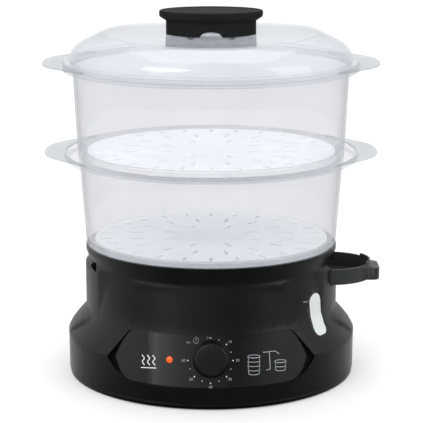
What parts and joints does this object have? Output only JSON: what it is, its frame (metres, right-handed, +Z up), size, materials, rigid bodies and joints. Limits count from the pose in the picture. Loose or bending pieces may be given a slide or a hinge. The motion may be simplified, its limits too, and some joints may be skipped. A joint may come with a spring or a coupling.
{
  "type": "electric food steamer",
  "caption": "Compact oval two-tier electric food steamer: black heated base with timer knob, side water filler, clear stacking bowls and domed lid with handle.",
  "frame": {"origin": "on the table, under the middle of the oval base", "axes": "+X to the right seen from the front, -Y to the front where the control panel is, +Z up"},
  "size_m": [0.335, 0.2418, 0.3686],
  "materials": {
    "black_plastic": "satin moulded black polypropylene",
    "black_gloss": "glossy near-black panel insert",
    "window_white": "milky translucent white plastic",
    "filler_plastic": "satin moulded black polypropylene",
    "knob_black": "semi-gloss black plastic",
    "steel": "zinc-plated sheet steel",
    "bright_steel": "nickel-plated steel",
    "screw_steel": "plated screw steel",
    "pilot_red": "translucent red-orange lens",
    "lamp_glass": "clear neon lamp glass",
    "white_plastic": "heat-resistant cream plastic",
    "heater_aluminium": "die-cast aluminium, lightly brushed",
    "silicone": "red-brown silicone seal",
    "wire_sleeve": "woven heat-proof sleeving",
    "foot_rubber": "soft black rubber",
    "collector_plastic": "natural, milky moulded polypropylene",
    "clear_plastic": "clear, slightly milky moulded plastic",
    "lid_plastic": "clear, slightly milky moulded plastic"
  },
  "bodies": {
    "base": {"base_housing": "black_plastic", "water_tank": "black_plastic", "control_panel": "black_gloss", "level_window": "window_white", "timer_case": "steel", "timer_bell": "bright_steel", "timer_screws": "screw_steel", "pilot_lens": "pilot_red", "pilot_lamp": "lamp_glass", "pilot_holder": "white_plastic", "heating_plate": "heater_aluminium", "heating_element": "steel", "heater_gasket": "silicone", "heater_clamp_ring": "steel", "heater_screws": "screw_steel", "thermostat": "bright_steel", "thermal_fuse": "white_plastic", "sensor_bracket": "steel", "terminal_block": "white_plastic", "lead_wires": "wire_sleeve", "bottom_cover": "black_plastic", "cover_screws": "screw_steel", "rubber_feet": "foot_rubber", "cord_grommet": "foot_rubber", "cord_clamp": "black_plastic", "cord_clamp_screws": "screw_steel"},
    "turbo_ring": {"turbo_ring": "black_plastic"},
    "collector": {"juice_collector": "collector_plastic"},
    "lower_bowl": {"lower_bowl": "clear_plastic"},
    "upper_bowl": {"upper_bowl": "clear_plastic"},
    "lid": {"lid_shell": "lid_plastic", "lid_grip": "black_plastic", "lid_grip_cap": "black_plastic", "lid_screws": "screw_steel"},
    "filler": {"water_filler": "filler_plastic"},
    "knob": {"timer_knob": "knob_black", "timer_shaft": "steel"}
  },
  "joints": [
    {"name": "turbo_ring_lift", "type": "slide", "parent": "base", "child": "turbo_ring", "axis": [0, 0, 1], "range_m": [0, 0.1]},
    {"name": "collector_lift", "type": "slide", "parent": "turbo_ring", "child": "collector", "axis": [0, 0, 1], "range_m": [0, 0.06]},
    {"name": "lower_bowl_lift", "type": "slide", "parent": "collector", "child": "lower_bowl", "axis": [0, 0, 1], "range_m": [0, 0.12]},
    {"name": "upper_bowl_lift", "type": "slide", "parent": "lower_bowl", "child": "upper_bowl", "axis": [0, 0, 1], "range_m": [0, 0.12]},
    {"name": "lid_lift", "type": "slide", "parent": "upper_bowl", "child": "lid", "axis": [0, 0, 1], "range_m": [0, 0.08]},
    {"name": "filler_slide", "type": "slide", "parent": "base", "child": "filler", "axis": [1, 0, 0], "range_m": [-0.045, 0]},
    {"name": "timer_turn", "type": "hinge", "parent": "base", "child": "knob", "pos_m": [0, -0.1075, 0.0495], "axis": [0, 0.9613, -0.2756], "range_deg": [0, 270]}
  ]
}
